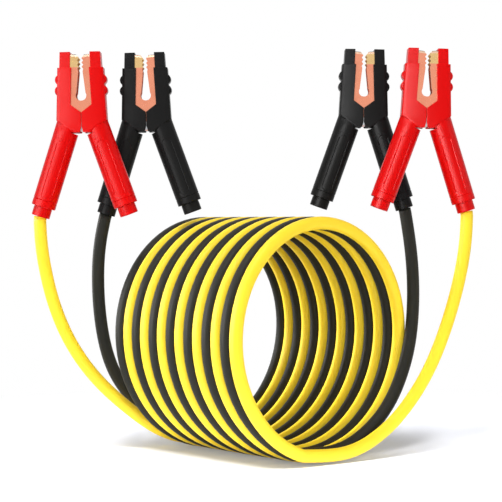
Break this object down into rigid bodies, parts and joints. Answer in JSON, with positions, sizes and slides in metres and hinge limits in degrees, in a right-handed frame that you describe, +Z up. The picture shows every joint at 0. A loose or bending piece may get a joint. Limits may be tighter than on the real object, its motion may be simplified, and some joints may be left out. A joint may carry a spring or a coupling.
{
  "type": "booster cable set",
  "caption": "Booster cables: a yellow and a black battery cable wound together into a standing coil, with sprung copper-jawed clamps on the ends, red on yellow and black on black.",
  "frame": {"origin": "on the floor, at the middle of the set's width and depth", "axes": "+X along the row of clamps, +Y from the red clamps to the black clamps, +Z up"},
  "size_m": [0.4206, 0.2906, 0.3886],
  "materials": {
    "red_plastic": "bright red moulded plastic, soft sheen",
    "black_plastic": "black moulded plastic, soft sheen",
    "yellow_sheath": "smooth yellow cable sheath",
    "black_sheath": "smooth black cable sheath",
    "copper_plate": "copper-plated steel sheet",
    "brass_plate": "pale brass sheet",
    "zinc_steel": "zinc-plated steel",
    "copper_wire": "bare copper"
  },
  "bodies": {
    "cable_set": {"yellow_coil": "yellow_sheath", "yellow_left_lead": "yellow_sheath", "yellow_right_lead": "yellow_sheath", "black_coil": "black_sheath", "black_left_lead": "black_sheath", "black_right_lead": "black_sheath", "red_left_cable_grip": "red_plastic", "red_left_cable_jaw": "copper_plate", "red_left_contact_plate": "brass_plate", "red_left_pivot_pin": "zinc_steel", "red_left_spring": "zinc_steel", "red_left_crimp_barrel": "copper_wire", "red_left_conductor": "copper_wire", "red_left_cable_end": "yellow_sheath", "red_left_cable_bush": "red_plastic", "black_left_cable_grip": "black_plastic", "black_left_cable_jaw": "copper_plate", "black_left_contact_plate": "brass_plate", "black_left_pivot_pin": "zinc_steel", "black_left_spring": "zinc_steel", "black_left_crimp_barrel": "copper_wire", "black_left_conductor": "copper_wire", "black_left_cable_end": "black_sheath", "black_left_cable_bush": "black_plastic", "black_right_cable_grip": "black_plastic", "black_right_cable_jaw": "copper_plate", "black_right_contact_plate": "brass_plate", "black_right_pivot_pin": "zinc_steel", "black_right_spring": "zinc_steel", "black_right_crimp_barrel": "copper_wire", "black_right_conductor": "copper_wire", "black_right_cable_end": "black_sheath", "black_right_cable_bush": "black_plastic", "red_right_cable_grip": "red_plastic", "red_right_cable_jaw": "copper_plate", "red_right_contact_plate": "brass_plate", "red_right_pivot_pin": "zinc_steel", "red_right_spring": "zinc_steel", "red_right_crimp_barrel": "copper_wire", "red_right_conductor": "copper_wire", "red_right_cable_end": "yellow_sheath", "red_right_cable_bush": "red_plastic"},
    "red_left_free_half": {"red_left_free_grip": "red_plastic", "red_left_free_jaw": "copper_plate", "red_left_end_plug": "red_plastic"},
    "black_left_free_half": {"black_left_free_grip": "black_plastic", "black_left_free_jaw": "copper_plate", "black_left_end_plug": "black_plastic"},
    "black_right_free_half": {"black_right_free_grip": "black_plastic", "black_right_free_jaw": "copper_plate", "black_right_end_plug": "black_plastic"},
    "red_right_free_half": {"red_right_free_grip": "red_plastic", "red_right_free_jaw": "copper_plate", "red_right_end_plug": "red_plastic"}
  },
  "joints": [
    {"name": "red_left_hinge", "type": "hinge", "parent": "cable_set", "child": "red_left_free_half", "pos_m": [-0.1622, -0.02, 0.3107], "axis": [0, 1, 0], "range_deg": [0, 28], "stiffness_Nm_per_rad": 3.6, "springref_deg": -32.09, "deforming": ["red_left_spring"]},
    {"name": "black_left_hinge", "type": "hinge", "parent": "cable_set", "child": "black_left_free_half", "pos_m": [-0.1034, 0.01, 0.3131], "axis": [0, 1, 0], "range_deg": [0, 28], "stiffness_Nm_per_rad": 3.6, "springref_deg": -32.09, "deforming": ["black_left_spring"]},
    {"name": "black_right_hinge", "type": "hinge", "parent": "cable_set", "child": "black_right_free_half", "pos_m": [0.1052, 0.03, 0.3183], "axis": [0, -1, 0], "range_deg": [0, 28], "stiffness_Nm_per_rad": 3.6, "springref_deg": -32.09, "deforming": ["black_right_spring"]},
    {"name": "red_right_hinge", "type": "hinge", "parent": "cable_set", "child": "red_right_free_half", "pos_m": [0.1626, 0, 0.3161], "axis": [0, -1, 0], "range_deg": [0, 28], "stiffness_Nm_per_rad": 3.6, "springref_deg": -32.09, "deforming": ["red_right_spring"]}
  ]
}
